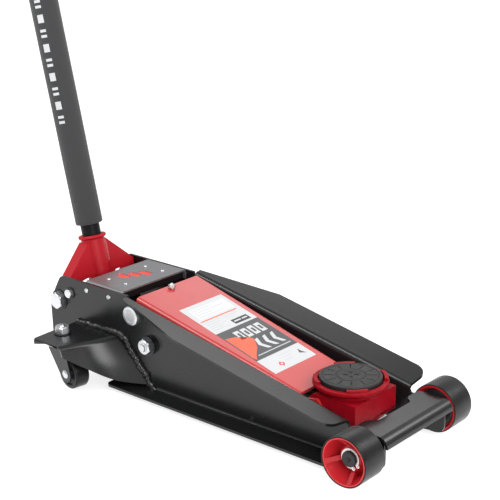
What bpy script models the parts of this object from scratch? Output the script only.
"""Hydraulic service jack (low-profile trolley jack), built as an assembly of separate pieces.

Shapes are worked out in millimetres in the jack's own frame: X forward from the front axle,
Y to the left, Z up from the floor. Objects are made in metres under the empty "jack", which
moves the frame so that the world origin is below the middle of the whole jack.
"""

import math

import bmesh
import bpy
from mathutils import Matrix, Vector

MM = 0.001
GAP = 0.3
FRAME_X = 454.6  # world X of the front axle, which puts the origin mid-length

# Chassis
SHEET = 5.0
WEB_OUT = 93.0
WEB_IN = WEB_OUT - SHEET
BEND = 10.0  # outer radius of every long bend
FLANGE_TOP_OUT = 149.0
FLANGE_BOTTOM_OUT = 136.0
FLANGE_RISE = 7.5  # the top flange tips up this much at its outer edge
FLANGE_BACK, FLANGE_KINK, FLANGE_FRONT = -555.0, -386.0, -41.0
FLANGE_BACK_Z, FLANGE_FRONT_Z = 184.0, 86.0
REAR_TOP = 185.0
REAR_X = -779.0
FLOOR_GAP = 9.0
BOTTOM_BACK, BOTTOM_FRONT = -585.0, -56.0
CROSS_TOP = 76.4
CROSS_HALF = 98.0
STOP_BOLT = (-718.0, 155.0)
SIDE_SCREWS = ((-669.5, 171.0), (-608.0, 171.0))

# Wheels
WHEEL_R = 45.0
WHEEL_IN, WHEEL_OUT = 106.0, 160.0
HUB_R, RIB_HALF = 42.8, 4.2
AXLE_R = 14.0
HUB_RECESS = 21.5
CASTER_R = 31.0
CASTER_WIDTH = 30.0
CASTER_TRAIL = 31.0
CASTER_TURN = -8.0
KINGPIN = (-674.0, 157.0)
OUTRIGGER_TOP = 101.0

# Lift linkage: a parallelogram, so the saddle stays level
ARM_PIVOT = (-541.0, 151.8)
HEAD_PIN = (-132.0, 76.0)
ROD_OFFSET = (39.5, -50.8)
ARM_BACK, ARM_FRONT = -541.0, -160.7
ARM_BACK_Z, ARM_FRONT_Z = 183.0, 91.3
ARM_BACK_HALF, ARM_FRONT_HALF = 85.5, 72.0
LIFT_RANGE = 68.0
LUG_R = 75.0
LUG_PIN_R = 8.0
ROD_IN, ROD_OUT = 62.0, 74.0
SADDLE_X = -104.4
PAD_TOP, PAD_R = 117.5, 55.5
RIM_TOP, RIM_R, RIM_BOTTOM = 112.8, 67.0, 100.0
HEAD_FRONT, HEAD_HALF, HEAD_TOP = -50.0, 60.0, 92.4

# Hydraulic unit
RAM_Z = 83.0
RAM_R = 17.0
CYLINDER_R = 27.5
CYLINDER_FRONT = -606.0
BLOCK_BACK, BLOCK_FRONT, BLOCK_HALF = -712.0, -672.0, 40.0
FLOOR_PAN_TOP = 55.0
SPRING_Y, SPRING_Z = 50.0, 66.0

# Handle
YOKE_PIVOT = (-751.0, 134.0)
HANDLE_LEAN = 11.75
HANDLE_OFFSET = 24.0  # handle axis ahead of the yoke pivot
TUBE_R = 19.0
SOCKET_R = 23.5
SOCKET_TOP = 105.0
SLEEVE_START, SLEEVE_END, SLEEVE_R = 132.0, 640.0, 27.2
HANDLE_END = 1010.0
GRIP_START, GRIP_R = 850.0, 21.5
ROLLER_R, ROLLER_ARM, ROLLER_BACK = 8.0, 26.0, 30.0
PLUNGER_Z = 108.5

LUG_HALF_SWEEP = LIFT_RANGE / 2
LUG_PIN = (
    ARM_PIVOT[0] - LUG_R * math.sin(math.radians(LUG_HALF_SWEEP)),
    ARM_PIVOT[1] - LUG_R * math.cos(math.radians(LUG_HALF_SWEEP)),
)
ROD_BOLT = (ARM_PIVOT[0] + ROD_OFFSET[0], ARM_PIVOT[1] + ROD_OFFSET[1])
ROD_PIN = (HEAD_PIN[0] + ROD_OFFSET[0], HEAD_PIN[1] + ROD_OFFSET[1])
SIDES = (("left", 1), ("right", -1))

MATERIALS = {}


# ---------------------------------------------------------------- helpers


def material(name, colour, roughness, metallic):
    made = bpy.data.materials.new(name)
    made.use_nodes = True
    shader = made.node_tree.nodes["Principled BSDF"]
    shader.inputs["Base Color"].default_value = (*colour, 1.0)
    shader.inputs["Roughness"].default_value = roughness
    shader.inputs["Metallic"].default_value = metallic
    MATERIALS[name] = made


def vector_of(angle, radius):
    return radius * math.cos(math.radians(angle)), radius * math.sin(math.radians(angle))


def arc(centre, radius, start, end, steps):
    """Points of an arc in a plane, in degrees."""
    points = []
    for i in range(steps + 1):
        dx, dy = vector_of(start + (end - start) * i / steps, radius)
        points.append((centre[0] + dx, centre[1] + dy))
    return points


def along(axis):
    """Turns (a, b, h), with h along the axis, into x, y, z."""
    return {
        "X": lambda a, b, h: (h, a, b),
        "Y": lambda a, b, h: (a, h, b),
        "Z": lambda a, b, h: (a, b, h),
    }[axis]


def closed_mesh(points, faces):
    """A bmesh whose faces point out, from millimetre points."""
    bm = bmesh.new()
    made = [bm.verts.new(point) for point in points]
    for face in faces:
        corners = []
        for index in face:
            if made[index] not in corners:
                corners.append(made[index])
        if len(corners) > 2:
            bm.faces.new(corners)
    bmesh.ops.recalc_face_normals(bm, faces=bm.faces)
    return bm


def turned(profile, axis="Y", centre=(0, 0), segments=16, ring=False, place=None):
    """A turned solid. The profile holds (radius, height), or (radius, height, "hex").

    It is closed by the axis at both ends, or is a ring that closes on itself.
    """
    to_xyz = place or along(axis)
    points, rings = [], []
    for entry in profile:
        radius, height = entry[:2]
        if radius == 0:
            rings.append([len(points)] * segments)
            points.append(to_xyz(centre[0], centre[1], height))
            continue
        rings.append([len(points) + i for i in range(segments)])
        for i in range(segments):
            angle = 360.0 * i / segments
            reach = radius
            if len(entry) > 2:
                reach *= math.cos(math.radians(30)) / math.cos(math.radians(angle % 60 - 30))
            dx, dy = vector_of(angle, reach)
            points.append(to_xyz(centre[0] + dx, centre[1] + dy, height))
    faces = []
    pairs = list(zip(rings, rings[1:]))
    if ring:
        pairs.append((rings[-1], rings[0]))
    for low, high in pairs:
        for i in range(segments):
            j = (i + 1) % segments
            faces.append((low[i], low[j], high[j], high[i]))
    return closed_mesh(points, faces)


def prism(outline, low, high, axis="Y", place=None):
    """An outline pushed straight along an axis."""
    to_xyz = place or along(axis)
    count = len(outline)
    points = [to_xyz(a, b, low) for a, b in outline] + [to_xyz(a, b, high) for a, b in outline]
    faces = [tuple(range(count)), tuple(range(count, 2 * count))]
    faces += [(i, (i + 1) % count, count + (i + 1) % count, count + i) for i in range(count)]
    return closed_mesh(points, faces)


def box(low, high):
    outline = [(low[0], low[1]), (high[0], low[1]), (high[0], high[1]), (low[0], high[1])]
    return prism(outline, low[2], high[2], axis="Z")


def shell(points, offsets, faces):
    """A bent sheet: the faces, their copy moved by each point's offset, and the rims."""
    count = len(points)
    moved = [tuple(p + o for p, o in zip(a, b)) for a, b in zip(points, offsets)]
    edges = {}
    for face in faces:
        corners = list(dict.fromkeys(face))
        for a, b in zip(corners, corners[1:] + corners[:1]):
            edges.setdefault(frozenset((a, b)), []).append((a, b))
    skins = list(faces) + [tuple(count + i for i in reversed(face)) for face in faces]
    for found in edges.values():
        if len(found) == 1:
            a, b = found[0]
            skins.append((b, a, count + a, count + b))
    return closed_mesh(list(points) + moved, skins)


def mirrored(bm, side):
    """The same shape on the other side of the jack, which is drawn on the left."""
    if side < 0:
        bmesh.ops.scale(bm, vec=(1, -1, 1), verts=bm.verts)
        bmesh.ops.reverse_faces(bm, faces=bm.faces)
    return bm


def joined(*meshes):
    """Shapes put into one bmesh, for a cutter or for pieces that a union then joins."""
    bm = meshes[0]
    for other in meshes[1:]:
        held = bpy.data.meshes.new("held")
        other.to_mesh(held)
        bm.from_mesh(held)
        bpy.data.meshes.remove(held)
    return bm


def new_object(name, bm, origin=(0, 0, 0)):
    """An object under the jack's empty, in metres, with its own origin."""
    to_metres = Matrix.Scale(MM, 4) @ Matrix.Translation(-Vector(origin))
    bmesh.ops.transform(bm, matrix=to_metres, verts=bm.verts)
    mesh = bpy.data.meshes.new(name)
    bm.to_mesh(mesh)
    bm.free()
    made = bpy.data.objects.new(name, mesh)
    made.location = Vector(origin) * MM
    made.parent = bpy.data.objects["jack"]
    bpy.context.scene.collection.objects.link(made)
    return made


def part(name, bm, colour, origin=(0, 0, 0), smooth=40.0):
    made = new_object(name, bm, origin)
    made.data.materials.append(MATERIALS[colour])
    if smooth:
        made.data.shade_smooth()
        made.data.set_sharp_from_angle(angle=math.radians(smooth))
    return made


def shaped(target, bm, operation, label):
    """A Boolean with a hidden helper."""
    helper = new_object(f"{target.name}_{label}", bm, tuple(target.location / MM))
    helper.hide_render = True
    helper.display_type = "WIRE"
    change = target.modifiers.new(label, "BOOLEAN")
    change.operation = operation
    change.object = helper
    return target


def cut(target, bm, label="cutter"):
    return shaped(target, bm, "DIFFERENCE", label)


def add(target, bm, label="addition"):
    return shaped(target, bm, "UNION", label)


def bar(radius, low, high, centre, axis="Y", segments=16, chamfer=0.0):
    """A plain round bar."""
    if not chamfer:
        return turned([(0, low), (radius, low), (radius, high), (0, high)], axis, centre, segments)
    profile = [(0, low), (radius - chamfer, low), (radius, low + chamfer)]
    profile += [(radius, high - chamfer), (radius - chamfer, high), (0, high)]
    return turned(profile, axis, centre, segments)


# ---------------------------------------------------------------- chassis


def top_line(x):
    """Height of the top flange's crest along the jack."""
    share = (x - FLANGE_BACK) / (FLANGE_FRONT - FLANGE_BACK)
    return FLANGE_BACK_Z + share * (FLANGE_FRONT_Z - FLANGE_BACK_Z)


def top_flange_reach(x):
    """Outer edge of the top flange: it widens to the kink, and its front corner is round."""
    corner = 25.0
    if x < FLANGE_KINK:
        share = (x - FLANGE_BACK) / (FLANGE_KINK - FLANGE_BACK)
        return WEB_OUT + 12.0 + share * (FLANGE_TOP_OUT - WEB_OUT - 12.0)
    into = max(0.0, x - (FLANGE_FRONT - corner))
    return FLANGE_TOP_OUT - corner + math.sqrt(max(0.0, corner**2 - into**2))


def bottom_flange_reach(x):
    corner = 12.0
    into = max(0.0, (BOTTOM_BACK + corner) - x)
    return FLANGE_BOTTOM_OUT - corner + math.sqrt(max(0.0, corner**2 - into**2))


def flange_strip(stations, reach, crest, rise, up, steps=3):
    """Rows of points from the web round the bend to the flange's edge, with their offsets."""
    rows, offsets = [], []
    middle = WEB_IN + BEND
    for x in stations:
        row, moves = [], []
        centre_z = crest(x) - up * BEND
        for i in range(steps + 1):
            turn = math.radians(90.0 * i / steps)
            dy, dz = -math.cos(turn), up * math.sin(turn)
            row.append((x, middle + BEND * dy, centre_z + BEND * dz))
            moves.append((0, -SHEET * dy, -SHEET * dz))
        edge = reach(x)
        row.append((x, edge, crest(x) + rise * (edge - middle) / (FLANGE_TOP_OUT - middle)))
        moves.append((0, 0, -up * SHEET))
        rows.append(row)
        offsets.append(moves)
    return rows, offsets


def side_plate(name, side):
    """One pressed side plate: web, top flange, bottom flange, bosses and bolt holes."""
    rounding = [FLANGE_FRONT - 25 * (1 - math.sin(math.radians(a))) for a in (0, 25, 45, 65, 90)]
    top_x = [FLANGE_BACK, -500.0, -440.0, FLANGE_KINK, -210.0] + rounding
    bottom_x = [BOTTOM_BACK, BOTTOM_BACK + 3.5, BOTTOM_BACK + 12.0, -320.0, BOTTOM_FRONT]
    points, offsets, faces = [], [], []

    def lay(rows, moves):
        first = len(points)
        width = len(rows[0])
        for row, move in zip(rows, moves):
            points.extend(row)
            offsets.extend(move)
        for i in range(len(rows) - 1):
            for j in range(width - 1):
                a = first + i * width + j
                faces.append((a, a + 1, a + width + 1, a + width))
        return [first + i * width for i in range(len(rows))]

    top = lay(*flange_strip(top_x, top_flange_reach, top_line, FLANGE_RISE, 1))
    flat = lay(*flange_strip(bottom_x, bottom_flange_reach, lambda x: FLOOR_GAP, 0.0, -1))
    edge = [(FLANGE_FRONT + 3, 71.0), (22.0, 71.0), (33.0, 62.0), (34.0, 30.0), (20.0, 13.0)]
    edge += [(-20.0, FLOOR_GAP), (BOTTOM_FRONT + 3, FLOOR_GAP)]
    rear = [(BOTTOM_BACK - 3, FLOOR_GAP), (REAR_X + 30, 40.0), (REAR_X + 6, 48.0), (REAR_X, 60.0)]
    rear += [(REAR_X, 128.0), (REAR_X + 24, 168.0)]
    rear += arc((REAR_X + 43, REAR_TOP - 15), 15, 155, 90, 3)
    rear += [(FLANGE_BACK - 3, REAR_TOP)]
    face = list(top)
    for outline in (edge, None, rear):
        if outline is None:
            face += reversed(flat)
            continue
        for x, z in outline:
            face.append(len(points))
            points.append((x, WEB_IN, z))
            offsets.append((0, SHEET, 0))
    faces.append(tuple(face))
    plate = part(name, mirrored(shell(points, offsets, faces), side), "black_paint")
    bosses = joined(
        bar(23.0, WEB_OUT - 2, WEB_OUT + 3, ARM_PIVOT),
        bar(18.0, WEB_OUT - 2, WEB_OUT + 7, ROD_BOLT),
    )
    add(plate, mirrored(bosses, side), "bosses")
    holes = [(AXLE_R, (0, WHEEL_R)), (13.0, ARM_PIVOT), (8.0, ROD_BOLT), (10.0, YOKE_PIVOT)]
    holes += [(5.0, STOP_BOLT), (2.5, SIDE_SCREWS[0]), (2.5, SIDE_SCREWS[1])]
    drills = [bar(r + GAP, WEB_IN - 5, WEB_OUT + 12, centre) for r, centre in holes]
    return cut(plate, mirrored(joined(*drills), side), "holes")


def front_cross_plate():
    """The plate that ties the side plates above the axle, bent down at the front."""
    half = CROSS_HALF
    back = [(-half, -17.0), (-half + 3, -24.0), (-half + 10, -27.0), (-62.0, -27.0), (-48.0, -11.0)]
    back += [(-y, x) for y, x in reversed(back)]
    radius, front = 18.0, 44.0
    points, offsets, faces = [], [], []
    for y, x_back in back:
        points.append((x_back, y, CROSS_TOP))
        offsets.append((0, 0, -SHEET))
        for i in range(7):
            turn = math.radians(95.0 * i / 6)
            nx, nz = math.sin(turn), math.cos(turn)
            points.append((front - radius + radius * nx, y, CROSS_TOP - radius + radius * nz))
            offsets.append((-SHEET * nx, 0, -SHEET * nz))
    for i in range(len(back) - 1):
        for j in range(7):
            a = i * 8 + j
            faces.append((a, a + 1, a + 9, a + 8))
    return part("front_cross_plate", shell(points, offsets, faces), "black_paint")


def rear_cover_plate():
    """The deck plate between the side plates, with bent side lips and three slots."""
    back, front, top, lip, radius = -679.0, -577.0, 187.0, 20.0, 7.0
    half, sheet = WEB_IN - GAP, 4.0
    section = [((half, top - lip), (-sheet, 0))]
    for i in range(4):
        turn = math.radians(90.0 * i / 3)
        ny, nz = math.cos(turn), math.sin(turn)
        place = (half - radius + radius * ny, top - radius + radius * nz)
        section.append((place, (-sheet * ny, -sheet * nz)))
    section += [((-y, z), (-dy, dz)) for (y, z), (dy, dz) in reversed(section)]
    points, offsets, faces = [], [], []
    for x in (back, front):
        points += [(x, y, z) for (y, z), _ in section]
        offsets += [(0, dy, dz) for _, (dy, dz) in section]
    width = len(section)
    faces = [(i, i + 1, width + i + 1, width + i) for i in range(width - 1)]
    plate = part("rear_cover_plate", shell(points, offsets, faces), "cover_paint")
    add(plate, box((front - sheet, -half + 9, top - 16), (front, half - 9, top - 1)), "front_lip")
    slots = []
    for x, y in ((-644.0, -17.0), (-632.0, 0.0), (-620.0, 17.0)):
        outline = arc((x - 9, y), 4.5, 90, 270, 4) + arc((x + 9, y), 4.5, -90, 90, 4)
        slots.append(prism(outline, top - 8, top + 4, axis="Z"))
    drills = [bar(2.5 + GAP, -half - 6, -half + 6, centre, segments=12) for centre in SIDE_SCREWS]
    drills += [bar(2.5 + GAP, half - 6, half + 6, centre, segments=12) for centre in SIDE_SCREWS]
    return cut(plate, joined(*slots, *drills), "openings")


def floor_pan():
    half = WEB_IN - GAP
    pan = box((-752.0, -half, FLOOR_PAN_TOP - SHEET), (-596.0, half, FLOOR_PAN_TOP))
    return part("floor_pan", pan, "black_paint", smooth=0)


def rear_tie_bar():
    half = WEB_IN - GAP
    return part("rear_tie_bar", bar(8.0, -half, half, (-762.0, 66.0), segments=16), "black_paint")


def outrigger(name, side):
    """The caster's bracket: a top plate with a turned-down end and a swept front gusset."""
    top, web = OUTRIGGER_TOP, WEB_OUT + GAP
    fold = [(-584.0, web), (-596.5, 133.0), (-609.0, 172.0), (-621.0, 211.0)]
    foot = [(-499.0, web, 19.5), (-556.0, 134.0, 27.0), (-598.0, 168.0, 50.0), (-619.0, 208.0, 80.0)]
    points, offsets, faces = [], [], []
    back = [(-701.0, web), (-700.0, 133.0), (-699.0, 172.0), (-697.0, 205.0)]
    sheet = 4.5
    lower = Vector((0, 0, -sheet))
    for (bx, by), (fx, fy), base in zip(back, fold, foot):
        crest = Vector((fx, fy, top))
        down = Vector(base)
        middle = crest.lerp(down, 0.5) + Vector((3.0, 2.0, 2.0)) * (0.0 if fy == web else 1.0)
        bend = crest + Vector((3.5, 1.0, -4.0)) * (1.0 if fy != web else 0.9)
        if fy == web:
            bend.y = middle.y = down.y = web
        row = [Vector((bx, by, top)), crest - Vector((3, 0, 0)), bend, middle, down]
        inward = Vector((-sheet, 0, 0))
        moves = [lower, lower, lower * 0.6 + inward * 0.8, inward, inward]
        points += [tuple(p) for p in row]
        offsets += [tuple(m) for m in moves]
    for i in range(3):
        for j in range(4):
            a = i * 5 + j
            faces.append((a, a + 1, a + 6, a + 5))
    outer_back, outer_front = len(points), len(points) + 1
    points += [(-695.0, 212.0, top - 4.0), (-640.0, 215.0, top - 4.0)]
    points += [(-693.0, 213.5, top - 13.0), (-650.0, 216.0, top - 13.0)]
    offsets += [(0, -sheet * 0.8, -sheet * 0.5)] * 2 + [(0, -sheet, 0)] * 2
    faces.append((15, 16, outer_front, outer_back))
    faces.append((outer_back, outer_front, outer_front + 2, outer_back + 2))
    bracket = part(name, mirrored(shell(points, offsets, faces), side), "black_paint", smooth=50)
    hole = bar(7.0 + GAP, top - 15, top + 8, KINGPIN, axis="Z", segments=16)
    return cut(bracket, mirrored(hole, side), "kingpin_hole")


# ---------------------------------------------------------------- wheels


def front_axle():
    end = WHEEL_OUT - HUB_RECESS + 7.0
    profile = [(0, -end), (AXLE_R - 1.5, -end), (AXLE_R, -end + 1.5)]
    profile += [(AXLE_R, end - 1.5), (AXLE_R - 1.5, end), (0, end)]
    return part("front_axle", turned(profile, centre=(0, WHEEL_R)), "dark_steel", (0, 0, WHEEL_R))


def front_wheel(label, side):
    """A hub with four ribs in its outer recess, and the tread band pressed round it."""
    seam, centre = HUB_R, (0, WHEEL_R)
    recess = WHEEL_OUT - HUB_RECESS
    tread = [(seam + GAP, WHEEL_IN), (WHEEL_R - 0.8, WHEEL_IN), (WHEEL_R, WHEEL_IN + 2)]
    tread += [(WHEEL_R, WHEEL_OUT - 2), (WHEEL_R - 0.8, WHEEL_OUT), (seam + GAP, WHEEL_OUT)]
    origin = (0, side * (WHEEL_IN + WHEEL_OUT) / 2, WHEEL_R)
    band = mirrored(turned(tread, centre=centre, segments=28, ring=True), side)
    part(f"front_wheel_tread_{label}", band, "tread", origin)
    bore = AXLE_R + GAP
    floor, rim, wall = recess - 10, WHEEL_OUT - 1, HUB_R - 3.2
    hub = [(bore, WHEEL_IN - 6), (22.0, WHEEL_IN - 6), (22.0, WHEEL_IN + 8), (37.0, WHEEL_IN + 8)]
    hub += [(39.0, WHEEL_IN), (seam, WHEEL_IN), (seam, rim), (wall, rim)]
    hub += [(wall - 9, floor), (wall - 10, floor), (20.5, recess), (bore, recess)]
    body = part(
        f"front_wheel_hub_{label}",
        mirrored(turned(hub, centre=centre, segments=28, ring=True), side),
        "red_paint",
        origin,
    )
    foot, low, high = floor - 2, recess - 0.6, rim - 2.5
    profile = [(20.0, foot), (20.0, low), (21.8, low)]
    profile += [(wall - 0.4, high), (wall + 1.5, high), (wall + 1.5, foot)]
    ribs = []
    for i in range(4):
        dx, dz = vector_of(90 * i + 15, 1.0)
        ribs.append(prism(profile, -RIB_HALF, RIB_HALF, place=rib_place(dx, dz)))
    return add(body, mirrored(joined(*ribs), side), "ribs")


def rib_place(dx, dz):
    """Turns (radius, y, across) of a hub rib that points along (dx, dz) into x, y, z."""
    return lambda r, y, across: (dx * r - dz * across, y, WHEEL_R + dz * r + dx * across)


def snap_ring(label, side):
    """An open retaining ring with two ears, in front of the hub."""
    low = WHEEL_OUT - HUB_RECESS + GAP
    inner, outer = AXLE_R + GAP, 17.8
    opening, centre = 24.0, (0, WHEEL_R)
    start, end = -50 + opening / 2, 310 - opening / 2
    outline = arc(centre, outer, start, end, 24) + arc(centre, inner, end, start, 24)
    ring = part(f"snap_ring_{label}", mirrored(prism(outline, low, low + 1.8), side), "zinc")
    ears = []
    for angle in (start + 5, end - 5):
        dx, dz = vector_of(angle, 18.5)
        ears.append(bar(2.8, low, low + 1.8, (centre[0] + dx, centre[1] + dz), segments=10))
    return add(ring, mirrored(joined(*ears), side), "ears")


def caster_place(side):
    """Turns caster coordinates, with the wheel trailing along +X, into the jack's frame."""
    turn = Matrix.Rotation(math.radians(CASTER_TURN), 4, "Z")
    return Matrix.Translation((KINGPIN[0], side * KINGPIN[1], 0)) @ turn


def caster(label, side):
    """The kingpin, the swivel fork, its axle and its wheel."""
    under = OUTRIGGER_TOP - 4.5 - GAP
    profile = [(0, under - 12), (11.0, under - 12, "hex"), (11.0, under - 6, "hex")]
    profile += [(11.0, under - 3), (19.0, under - 3), (19.0, under), (7.0, under)]
    nut = OUTRIGGER_TOP + GAP
    profile += [(7.0, nut), (17.0, nut), (17.0, nut + 2.5), (14.5, nut + 2.5, "hex")]
    profile += [(14.5, nut + 12, "hex"), (11.5, nut + 14), (7.0, nut + 14), (6.0, nut + 17)]
    profile += [(0, nut + 17)]
    centre = (KINGPIN[0], side * KINGPIN[1])
    part(f"caster_kingpin_{label}", turned(profile, "Z", centre, segments=12), "zinc", (*centre, nut))
    place = caster_place(side)
    deck, half, wall = under - 13, CASTER_WIDTH / 2 + 2.0, 3.5
    axle = (CASTER_TRAIL, CASTER_R)
    cheek = [(-19.0, deck), (-22.0, deck - 4), (-21.0, deck - 12)] + arc(axle, 17.0, -155, 10, 6)
    cheek += [(38.0, deck - 12), (32.0, deck)]
    plate = [(-22.0, -half - wall), (32.0, -half - wall), (32.0, half + wall), (-22.0, half + wall)]
    fork = prism([(x, y) for x, y in plate], deck - wall, deck, axis="Z")
    swivel = (KINGPIN[0], side * KINGPIN[1], deck)
    cheeks = [prism(cheek, sign * half, sign * (half + wall)) for sign in (-1, 1)]
    stem = turned(
        [(11.6, deck - 1), (23.0, deck - 1), (23.0, deck + 4), (19.5, deck + 9), (11.6, deck + 9)],
        "Z",
        ring=True,
    )
    for bm in (fork, stem, *cheeks):
        bmesh.ops.transform(bm, matrix=place, verts=bm.verts)
    body = part(f"caster_fork_{label}", fork, "black_paint", swivel)
    for bm, which in zip(cheeks, ("near_cheek", "far_cheek")):
        add(body, bm, which)
    add(body, stem, "race")
    hole = bar(12.0, deck - 8, deck + 12, (0, 0), axis="Z")
    pin_hole = bar(4.0 + GAP, -half - 8, half + 8, axle, segments=12)
    for bm in (hole, pin_hole):
        bmesh.ops.transform(bm, matrix=place, verts=bm.verts)
    cut(body, hole, "race_hole")
    cut(body, pin_hole, "axle_hole")
    spot = place @ Vector((axle[0], 0, axle[1]))
    reach = half + wall
    rivet = turned(
        [(0, -reach - 3.0), (6.0, -reach - 3.0), (8.5, -reach - GAP), (4.0, -reach - GAP)]
        + [(4.0, reach + GAP), (8.5, reach + GAP), (6.0, reach + 3.0), (0, reach + 3.0)],
        centre=axle,
        segments=12,
    )
    width = CASTER_WIDTH / 2
    wheel = turned(
        [(4.0 + GAP, -width), (10.0, -width), (12.0, -width + 4), (22.0, -width + 4)]
        + [(24.0, -width), (CASTER_R - 3, -width), (CASTER_R, -width + 4), (CASTER_R, width - 4)]
        + [(CASTER_R - 3, width), (24.0, width), (22.0, width - 4), (12.0, width - 4)]
        + [(10.0, width), (4.0 + GAP, width)],
        centre=axle,
        segments=24,
        ring=True,
    )
    for bm in (rivet, wheel):
        bmesh.ops.transform(bm, matrix=place, verts=bm.verts)
    part(f"caster_axle_{label}", rivet, "zinc", tuple(spot))
    part(f"caster_wheel_{label}", wheel, "tread", tuple(spot))


# ---------------------------------------------------------------- lift linkage


def arm_half(x):
    share = (x - ARM_BACK) / (ARM_FRONT - ARM_BACK)
    return ARM_BACK_HALF + share * (ARM_FRONT_HALF - ARM_BACK_HALF)


def arm_top(x):
    share = (x - ARM_BACK) / (ARM_FRONT - ARM_BACK)
    return ARM_BACK_Z + share * (ARM_FRONT_Z - ARM_BACK_Z)


def lift_arm():
    """The pressed channel with its pivot bush and the two lugs that the ram pushes."""
    radius, steps = 8.0, 3
    stations = (ARM_BACK, -350.0, ARM_FRONT)
    points, offsets, faces = [], [], []
    for x in stations:
        half, top = arm_half(x), arm_top(x)
        row = []
        for i in range(steps + 1):
            turn = math.radians(90.0 * i / steps)
            ny, nz = math.cos(turn), math.sin(turn)
            place = (x, half - radius + radius * ny, top - radius + radius * nz)
            row.append((place, (0, -SHEET * ny, -SHEET * nz)))
        row += [((px, -py, pz), (ox, -oy, oz)) for (px, py, pz), (ox, oy, oz) in reversed(row)]
        points += [place for place, _ in row]
        offsets += [offset for _, offset in row]
    width = 2 * (steps + 1)
    for i in range(len(stations) - 1):
        for j in range(width - 1):
            a = i * width + j
            faces.append((a, a + 1, a + width + 1, a + width))
    nose = arc(HEAD_PIN, 16.0, 62, -105, 6)
    tail = arc(ARM_PIVOT, 28.0, 250, 145, 6)
    outline = nose + [(-200.0, 66.0), (-480.0, 118.0)] + tail
    for column, sign in ((0, 1), (width - 1, -1)):
        face = [i * width + column for i in range(len(stations))]
        for x, z in outline:
            face.append(len(points))
            points.append((x, sign * arm_half(x), z))
            offsets.append((0, -sign * SHEET, 0))
        faces.append(tuple(face))
    arm = part("lift_arm", shell(points, offsets, faces), "red_paint", (ARM_PIVOT[0], 0, ARM_PIVOT[1]))
    lug = arc(LUG_PIN, 13.0, 150, 330, 6)
    lug += [(-520.0, 135.0), (-470.0, 150.0), (-470.0, arm_top(-470.0) - 2), (-538.0, 179.0)]
    lug += arc(ARM_PIVOT, 25.0, 120, 180, 3)
    for sign in (-1, 1):
        add(arm, prism(lug, sign * 28.0, sign * 34.0), f"lug_{sign + 1}")
    add(arm, bar(18.0, -arm_half(ARM_BACK) + 2, arm_half(ARM_BACK) - 2, ARM_PIVOT), "bush")
    drills = [bar(13.0 + GAP, -95, 95, ARM_PIVOT), bar(9.0 + GAP, -95, 95, HEAD_PIN)]
    drills += [bar(LUG_PIN_R + GAP, -60, 60, LUG_PIN)]
    screw = bar(4.0 + GAP, 165, 195, (-531.0, 0.0), axis="Z", segments=16)
    return cut(arm, joined(*drills, screw), "bores")


def arm_fittings():
    """The pins that the arm carries, and the screw on its rear edge."""
    half = 38.0
    pin = bar(LUG_PIN_R, -half, half, LUG_PIN, chamfer=1.0, segments=20)
    part("ram_cross_pin", pin, "steel", (LUG_PIN[0], 0, LUG_PIN[1]))
    pin = bar(9.0, -77.0, 77.0, HEAD_PIN, chamfer=1.0)
    part("head_pin", pin, "steel", (HEAD_PIN[0], 0, HEAD_PIN[1]))
    top = arm_top(-531.0)
    seat = top + 2.2
    profile = [(0, top - 9), (4.0, top - 9), (4.0, seat), (7.5, seat, "hex")]
    profile += [(7.5, seat + 5, "hex"), (3.6, seat + 5), (3.6, seat + 8), (0, seat + 8)]
    screw = turned(profile, "Z", (-531.0, 0.0), segments=12)
    part("arm_stop_screw", screw, "zinc", (-531.0, 0, top))


def saddle_bracket():
    """The cast head that carries the saddle, with its pin bosses and a round seat."""
    half, wall = HEAD_HALF, 9.0
    cheek = [(HEAD_FRONT, HEAD_TOP), (-137.0, HEAD_TOP)]
    cheek += arc(HEAD_PIN, 18.0, 105, 215, 5)
    cheek += arc(ROD_PIN, 12.5, 200, 330, 5)
    cheek += [(-66.0, 44.0), (HEAD_FRONT, 49.0)]
    head = part("saddle_bracket", prism(cheek, half - wall, half), "red_cast")
    add(head, prism(cheek, -half, -half + wall), "right_cheek")
    deck = box((-139.0, -half + 1, HEAD_TOP - 11), (HEAD_FRONT, half - 1, HEAD_TOP))
    add(head, deck, "deck")
    front = box((HEAD_FRONT - 9, -half + 1, 49.0), (HEAD_FRONT, half - 1, HEAD_TOP - 2))
    add(head, front, "front_wall")
    low = HEAD_TOP - 3
    seat = turned(
        [(0, low), (54.0, low), (57.0, low + 6), (57.0, RIM_BOTTOM - GAP), (0, RIM_BOTTOM - GAP)],
        "Z",
        (SADDLE_X, 0),
        segments=28,
    )
    add(head, seat, "seat")
    drills = [bar(9.0 + GAP, -70, 70, HEAD_PIN), bar(7.0 + GAP, -70, 70, ROD_PIN)]
    drills += [bar(15.0, RIM_BOTTOM - 30, RIM_BOTTOM + 5, (SADDLE_X, 0), axis="Z")]
    return cut(head, joined(*drills), "bores")


def saddle():
    """The dished saddle with four raised lugs on its rim and a stem that turns in the bracket."""
    profile = [(0, RIM_BOTTOM - 22), (14.5, RIM_BOTTOM - 22), (14.5, RIM_BOTTOM), (61.0, RIM_BOTTOM)]
    profile += [(RIM_R, RIM_BOTTOM + 4), (RIM_R, RIM_TOP - 3), (RIM_R - 1.5, RIM_TOP - 2)]
    profile += [(58.0, RIM_TOP - 2), (57.0, RIM_BOTTOM + 6), (0, RIM_BOTTOM + 6)]
    centre = (SADDLE_X, 0)
    dish = turned(profile, "Z", centre, segments=36)
    made = part("saddle", dish, "red_cast", (SADDLE_X, 0, RIM_BOTTOM))
    lugs = []
    for i in range(4):
        middle = 90 * i + 47
        outline = arc(centre, RIM_R - 1.5, middle - 17, middle + 17, 3)
        outline += arc(centre, 58.2, middle + 17, middle - 17, 3)
        lugs.append(prism(outline, RIM_TOP - 3, RIM_TOP + 2.5, axis="Z"))
    return add(made, joined(*lugs), "lugs")


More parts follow.
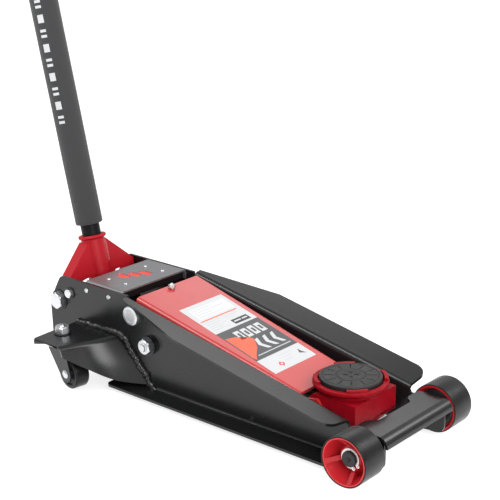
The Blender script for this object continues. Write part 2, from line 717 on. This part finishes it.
def saddle_pad():
    low = RIM_BOTTOM + 6 + GAP
    profile = [(0, low), (PAD_R - 1, low), (PAD_R, low + 2), (PAD_R, PAD_TOP - 2), (PAD_R - 2, PAD_TOP)]
    pad = turned(profile + [(0, PAD_TOP)], "Z", (SADDLE_X, 0), segments=32)
    return part("saddle_pad", pad, "rubber", (SADDLE_X, 0, PAD_TOP))


def radius_rod(name, side):
    """A flat bar with round eyes, parallel to the lift arm's line of pivots."""
    lean = math.degrees(math.atan2(HEAD_PIN[1] - ARM_PIVOT[1], HEAD_PIN[0] - ARM_PIVOT[0]))
    outline = arc(ROD_BOLT, 15.0, lean + 130, lean + 230, 5)
    outline += arc(ROD_BOLT, 15.0, lean + 230, lean + 322, 5)[1:]
    outline += arc(ROD_PIN, 12.0, lean - 140, lean + 140, 9)
    outline += arc(ROD_BOLT, 15.0, lean + 38, lean + 130, 5)[:-1]
    bm = mirrored(prism(outline, ROD_IN, ROD_OUT), side)
    rod = part(name, bm, "black_paint", (ROD_BOLT[0], side * 68.0, ROD_BOLT[1]))
    drills = joined(bar(8.0 + GAP, 55, 85, ROD_BOLT), bar(7.0 + GAP, 55, 85, ROD_PIN))
    return cut(rod, mirrored(drills, side), "eyes")


def rod_pin(name, side):
    profile = [(0, 47.0), (7.0, 47.0), (7.0, ROD_OUT + GAP), (9.5, ROD_OUT + GAP)]
    profile += [(9.5, ROD_OUT + 3), (0, ROD_OUT + 3)]
    pin = mirrored(turned(profile, centre=ROD_PIN, segments=20), side)
    return part(name, pin, "steel", (ROD_PIN[0], side * ROD_OUT, ROD_PIN[1]))


# ---------------------------------------------------------------- fixed fasteners


def hex_profile(start, head, reach, shank, depth, stud=0.0):
    """A hex head or nut outside the web, its shank going inwards, and a stud beyond it."""
    profile = [(0, start - depth), (shank, start - depth), (shank, start), (reach * 0.93, start)]
    profile += [(reach, start + 0.8, "hex"), (reach, start + head - 1.5, "hex")]
    profile += [(reach * 0.82, start + head)]
    if stud:
        profile += [(shank, start + head), (shank - 1, start + head + stud), (0, start + head + stud)]
    else:
        profile += [(0, start + head)]
    return profile


def fastener(name, side, profile, centre, colour="zinc", segments=12):
    bm = mirrored(turned(profile, centre=centre, segments=segments), side)
    return part(name, bm, colour, (centre[0], side * WEB_OUT, centre[1]))


def fixed_fasteners():
    face = WEB_OUT + GAP
    head = WEB_OUT + 3 + GAP
    pin = [(0, -head - 9), (17, -head - 9), (19, -head - 7), (19, -head), (13, -head)]
    pin += [(r, -h) for r, h in reversed(pin)]
    bm = turned(pin, centre=ARM_PIVOT, segments=20)
    part("arm_pivot_pin", bm, "zinc", (ARM_PIVOT[0], 0, ARM_PIVOT[1]))
    for label, side in SIDES:
        rod_bolt = hex_profile(WEB_OUT + 7 + GAP, 11.0, 16.0, 8.0, 41.0, stud=4.0)
        fastener(f"radius_rod_bolt_{label}", side, rod_bolt, ROD_BOLT)
        pivot_bolt = hex_profile(face, 12.0, 17.5, 10.0, 19.0)
        fastener(f"handle_pivot_bolt_{label}", side, pivot_bolt, YOKE_PIVOT)
        fastener(f"stop_bolt_{label}", side, hex_profile(face, 8.0, 9.5, 5.0, 14.0), STOP_BOLT)
        for number, centre in enumerate(SIDE_SCREWS, 1):
            screw = [(0, WEB_IN - 5), (2.5, WEB_IN - 5), (2.5, face), (4.8, face), (4.0, face + 1.8)]
            screw += [(1.6, face + 1.8), (1.2, face + 0.8), (0, face + 0.8)]
            fastener(f"side_screw_{number}_{label}", side, screw, centre, segments=10)


# ---------------------------------------------------------------- hydraulics


def hydraulic_unit():
    """The pump block and ram cylinder in one casting, with bores for ram, plunger and valve."""
    low = FLOOR_PAN_TOP + GAP
    block = box((BLOCK_BACK, -BLOCK_HALF, low), (BLOCK_FRONT, BLOCK_HALF, 150.0))
    unit = part("hydraulic_unit", block, "black_cast")
    change = unit.modifiers.new("rounded", "BEVEL")
    change.width = 4 * MM
    change.segments = 2
    cylinder = bar(CYLINDER_R, BLOCK_FRONT - 4, CYLINDER_FRONT, (0, RAM_Z), axis="X", segments=24)
    add(unit, cylinder, "cylinder")
    reservoir = bar(22.0, BLOCK_FRONT - 4, -640.0, (0, 128.0), axis="X", segments=20)
    add(unit, reservoir, "reservoir")
    for side in (-1, 1):
        ends = side * (BLOCK_HALF - 4), side * (SPRING_Y + 8)
        stub = bar(4.0, *ends, (BLOCK_BACK + 12, SPRING_Z), segments=12)
        add(unit, stub, f"stub_{side + 1}")
    bores = [bar(RAM_R + 0.5, -705.0, CYLINDER_FRONT + 5, (0, RAM_Z), axis="X")]
    bores += [bar(6.5, BLOCK_BACK - 5, -674.0, (0, PLUNGER_Z), axis="X", segments=16)]
    bores += [bar(6.5, BLOCK_BACK - 5, -695.0, (26.0, 134.0), axis="X", segments=16)]
    return cut(unit, joined(*bores), "bores")


def ram_and_crosshead():
    ram = bar(RAM_R, -700.0, LUG_PIN[0] - 21.0, (0, RAM_Z), axis="X", chamfer=1.0)
    part("ram", ram, "steel", (LUG_PIN[0], 0, RAM_Z))
    back, front = LUG_PIN[0] - 20.5, LUG_PIN[0] + 20.0
    block = box((back, -26.0, 58.0), (front, 26.0, 106.0))
    head = part("ram_crosshead", block, "dark_steel", (LUG_PIN[0], 0, RAM_Z))
    change = head.modifiers.new("rounded", "BEVEL")
    change.width = 3 * MM
    change.segments = 2
    add(head, bar(4.0, -SPRING_Y - 8, SPRING_Y + 8, (LUG_PIN[0] - 16, SPRING_Z), segments=12), "spring_bar")
    width = LUG_PIN_R + 1.6
    low, high = ARM_PIVOT[1] - LUG_R, LUG_PIN[1]
    slot = arc((LUG_PIN[0], high), width, 0, 180, 8) + arc((LUG_PIN[0], low), width, 180, 360, 8)
    return cut(head, prism(slot, -40.0, 40.0), "slot")


def wire(name, path, radius, colour, origin):
    """A bent wire: a curve with a round bevel and filled ends."""
    curve = bpy.data.curves.new(name, "CURVE")
    curve.dimensions = "3D"
    curve.bevel_depth = radius * MM
    curve.bevel_resolution = 0
    curve.use_fill_caps = True
    spline = curve.splines.new("POLY")
    spline.points.add(len(path) - 1)
    for point, place in zip(spline.points, path):
        point.co = (*((Vector(place) - Vector(origin)) * MM), 1.0)
    made = bpy.data.objects.new(name, curve)
    made.location = Vector(origin) * MM
    made.parent = bpy.data.objects["jack"]
    bpy.context.scene.collection.objects.link(made)
    curve.materials.append(MATERIALS[colour])
    return made


def return_spring(name, side):
    """A tension spring beside the cylinder, hooked on the block's stub and the crosshead's bar."""
    back, front = BLOCK_BACK + 12, LUG_PIN[0] - 16
    y, coil, turns, steps = side * SPRING_Y, 7.5, 7, 8
    hook = 6.0
    path = [(back + dx, y, SPRING_Z + dz) for dx, dz in [vector_of(a, hook) for a in range(-110, 61, 34)]]
    start, end = back + 14.0, front - 14.0
    for i in range(turns * steps + 1):
        angle = 2 * math.pi * i / steps
        x = start + (end - start) * i / (turns * steps)
        path.append((x, y + coil * math.sin(angle), SPRING_Z + coil * math.cos(angle)))
    path += [(front + dx, y, SPRING_Z + dz) for dx, dz in [vector_of(a, hook) for a in range(120, 291, 34)]]
    return wire(name, path, 1.2, "steel", (back, y, SPRING_Z))


def pump():
    """The plunger that the yoke's roller pushes, and the spring that returns it."""
    cap = ROLLER_CENTRE[0] + ROLLER_R + 0.8
    profile = [(0, cap), (7.5, cap), (8.5, cap + 1), (8.5, cap + 5), (6.0, cap + 5)]
    profile += [(6.0, -704.0), (0, -704.0)]
    plunger = turned(profile, "X", (0, PLUNGER_Z), segments=20)
    part("pump_plunger", plunger, "steel", (cap, 0, PLUNGER_Z))
    turns, steps, coil = 4, 8, 7.7
    start, end = cap + 6.8, BLOCK_BACK - 1.8
    path = []
    for i in range(turns * steps + 1):
        angle = 2 * math.pi * i / steps
        x = start + (end - start) * i / (turns * steps)
        path.append((x, coil * math.sin(angle), PLUNGER_Z + coil * math.cos(angle)))
    wire("pump_spring", path, 1.1, "steel", (BLOCK_BACK, 0, PLUNGER_Z))


def release_valve():
    """The valve spindle in the block, with the cross hole that the handle's joint turns."""
    centre = (26.0, 134.0)
    profile = [(0, -732.0), (6.0, -732.0), (7.5, -730.5), (7.5, -720.0), (6.0, -718.0)]
    profile += [(6.0, -698.0), (0, -698.0)]
    spindle = turned(profile, "X", centre, segments=16)
    valve = part("release_valve", spindle, "steel", (-720.0, *centre))
    return cut(valve, bar(2.2, 120.0, 150.0, (-726.0, 26.0), axis="Z", segments=10), "cross_hole")


# ---------------------------------------------------------------- handle

LEAN = math.radians(HANDLE_LEAN)
HANDLE_AXIS = Vector((-math.sin(LEAN), 0, math.cos(LEAN)))
HANDLE_FRONT = Vector((math.cos(LEAN), 0, math.sin(LEAN)))
HANDLE_FOOT = Vector((YOKE_PIVOT[0], 0, YOKE_PIVOT[1])) + HANDLE_FRONT * HANDLE_OFFSET
ROLLER_CENTRE = (
    YOKE_PIVOT[0] - ROLLER_ARM * math.sin(math.radians(ROLLER_BACK)),
    YOKE_PIVOT[1] - ROLLER_ARM * math.cos(math.radians(ROLLER_BACK)),
)


def on_handle(a, b, h):
    """Handle coordinates: a ahead of its axis, b to the left, h up along it."""
    return tuple(HANDLE_FOOT + HANDLE_FRONT * a + Vector((0, 1, 0)) * b + HANDLE_AXIS * h)


def handle_yoke():
    """The fork that the handle plugs into: a socket with a folded front plate and two ears."""
    front, depth, wall = 12.0, 28.0, 5.0
    shoulder, crown, hem = 42.0, 98.0, 24.0
    wide, narrow = 85.0, 22.0
    heel = (-HANDLE_OFFSET, 0.0)
    ear = [(front, shoulder), (front, hem)]
    ear += arc(heel, 17.0, -10, -200, 7)
    ear += [(front - depth, shoulder)]
    arch = [(wide, hem), (62.0, 25.0), (50.0, 29.0), (36.0, 30.0), (26.0, 24.0)]
    plate = [(narrow, crown), (wide, shoulder)] + arch
    plate += [(-b, h) for b, h in reversed(plate)]
    face = prism([(b, h) for b, h in plate], front - wall, front, place=lambda b, h, a: on_handle(a, b, h))
    yoke = part("handle_yoke", face, "red_paint", (YOKE_PIVOT[0], 0, YOKE_PIVOT[1]))
    slope = Vector((narrow - wide, crown - shoulder)).normalized()
    inward = Vector((-slope.y, slope.x)) * wall
    if inward.x > 0:
        inward = -inward
    for label, sign in (("left", 1), ("right", -1)):
        wing = [(narrow, crown), (wide, shoulder), (wide + inward.x, shoulder + inward.y)]
        wing += [(narrow + inward.x, crown + inward.y)]
        wing = [(sign * b, h) for b, h in wing]
        fold = prism(wing, front - depth, front - 0.5, place=lambda b, h, a: on_handle(a, b, h))
        add(yoke, fold, f"{label}_fold")
        side = prism(ear, sign * (wide - wall), sign * wide, place=lambda a, h, b: on_handle(a, b, h))
        add(yoke, side, f"{label}_ear")
    socket = [(TUBE_R + GAP, 34.0), (SOCKET_R, 34.0), (SOCKET_R, SOCKET_TOP - 3)]
    socket += [(SOCKET_R + 3, SOCKET_TOP - 2), (SOCKET_R + 4.6, SOCKET_TOP + 1)]
    socket += [(SOCKET_R + 3, SOCKET_TOP + 4), (TUBE_R + 2.5, SOCKET_TOP + 4), (TUBE_R + GAP, SOCKET_TOP + 2)]
    add(yoke, turned(socket, segments=24, ring=True, place=on_handle), "socket")
    turn = math.degrees(math.atan2(ROLLER_CENTRE[1] - YOKE_PIVOT[1], ROLLER_CENTRE[0] - YOKE_PIVOT[0]))
    lean = turn - HANDLE_LEAN
    dx, dz = vector_of(lean, ROLLER_ARM)
    lever = arc(heel, 4.0, lean - 270, lean - 90, 2)
    lever += arc((heel[0] + dx, heel[1] + dz), 5.0, lean - 90, lean + 90, 4)
    neck = [(-30.0, -4.0), (-19.0, -6.0), (-6.0, 24.0), (-20.0, 24.0)]
    for label, outline in (("lever", lever), ("neck", neck)):
        cam = prism(outline, -5.0, 5.0, place=lambda a, h, b: on_handle(a, b, h))
        add(yoke, cam, label)
    blank = turned([(0, 20.0), (SOCKET_R, 20.0), (SOCKET_R, 37.0), (0, 37.0)], segments=24, place=on_handle)
    add(yoke, blank, "socket_floor")
    drills = [bar(10.0 + GAP, sign * 70, sign * 100, YOKE_PIVOT) for sign in (-1, 1)]
    drills += [bar(3.0 + GAP, -20, 20, ROLLER_CENTRE, segments=12)]
    bore = turned(
        [(0, 40.0), (TUBE_R + GAP, 40.0), (TUBE_R + GAP, 130.0), (0, 130.0)], segments=24, place=on_handle
    )
    cut(yoke, joined(*drills), "bores")
    cut(yoke, bore, "socket_bore")
    x, z = ROLLER_CENTRE
    roller = [(0, -14.0), (3.0, -14.0), (3.0, 14.0), (0, 14.0)]
    pin = part("yoke_roller", turned(roller, centre=(x, z), segments=12), "steel", (x, 0, z))
    for sign in (-1, 1):
        rim = [(2.0, sign * 5.5), (ROLLER_R, sign * 5.5), (ROLLER_R, sign * 13.0), (2.0, sign * 13.0)]
        add(pin, turned(rim, centre=(x, z), segments=12, ring=True), f"rim_{sign + 1}")
    return yoke


def handle():
    """The tube with its foam sleeve and end grip."""
    foot = tuple(HANDLE_FOOT)
    inner = TUBE_R - 2.5
    tube = [(inner, 42.0), (TUBE_R, 42.0), (TUBE_R, HANDLE_END), (inner, HANDLE_END)]
    part("handle_tube", turned(tube, segments=24, ring=True, place=on_handle), "black_paint", foot)
    sleeve = [(TUBE_R + GAP, SLEEVE_START), (SLEEVE_R - 1, SLEEVE_START), (SLEEVE_R, SLEEVE_START + 1.5)]
    sleeve += [(SLEEVE_R, SLEEVE_END - 1.5), (SLEEVE_R - 1, SLEEVE_END), (TUBE_R + GAP, SLEEVE_END)]
    part("foam_sleeve", turned(sleeve, segments=24, ring=True, place=on_handle), "foam", foot)
    grip = [(TUBE_R + GAP, GRIP_START), (GRIP_R - 1, GRIP_START), (GRIP_R + 1, GRIP_START + 4)]
    grip += [(GRIP_R, GRIP_START + 10), (GRIP_R, HANDLE_END), (GRIP_R - 3, HANDLE_END + 5)]
    grip += [(0, HANDLE_END + 6), (0, HANDLE_END + GAP), (TUBE_R + GAP, HANDLE_END + GAP)]
    part("end_grip", turned(grip, segments=24, ring=True, place=on_handle), "rubber", foot)


# ---------------------------------------------------------------- assembly


def main():
    for old in list(bpy.data.objects):
        bpy.data.objects.remove(old, do_unlink=True)
    jack = bpy.data.objects.new("jack", None)
    jack.location = (FRAME_X * MM, 0, 0)
    bpy.context.scene.collection.objects.link(jack)
    material("black_paint", (0.035, 0.036, 0.038), 0.42, 0.0)
    material("black_cast", (0.03, 0.03, 0.032), 0.6, 0.0)
    material("cover_paint", (0.09, 0.09, 0.095), 0.35, 0.2)
    material("red_paint", (0.62, 0.02, 0.035), 0.3, 0.0)
    material("red_cast", (0.58, 0.018, 0.03), 0.38, 0.0)
    material("tread", (0.03, 0.03, 0.03), 0.45, 0.0)
    material("rubber", (0.03, 0.03, 0.032), 0.7, 0.0)
    material("foam", (0.06, 0.06, 0.062), 0.9, 0.0)
    material("zinc", (0.78, 0.79, 0.8), 0.28, 1.0)
    material("steel", (0.55, 0.55, 0.56), 0.35, 1.0)
    material("dark_steel", (0.08, 0.08, 0.085), 0.45, 0.6)
    front_cross_plate()
    rear_cover_plate()
    floor_pan()
    rear_tie_bar()
    front_axle()
    for label, side in SIDES:
        side_plate(f"side_plate_{label}", side)
        outrigger(f"outrigger_{label}", side)
        front_wheel(label, side)
        snap_ring(label, side)
        caster(label, side)
        radius_rod(f"radius_rod_{label}", side)
        rod_pin(f"radius_rod_pin_{label}", side)
        return_spring(f"return_spring_{label}", side)
    lift_arm()
    arm_fittings()
    saddle_bracket()
    saddle()
    saddle_pad()
    fixed_fasteners()
    hydraulic_unit()
    ram_and_crosshead()
    pump()
    release_valve()
    handle_yoke()
    handle()


main()
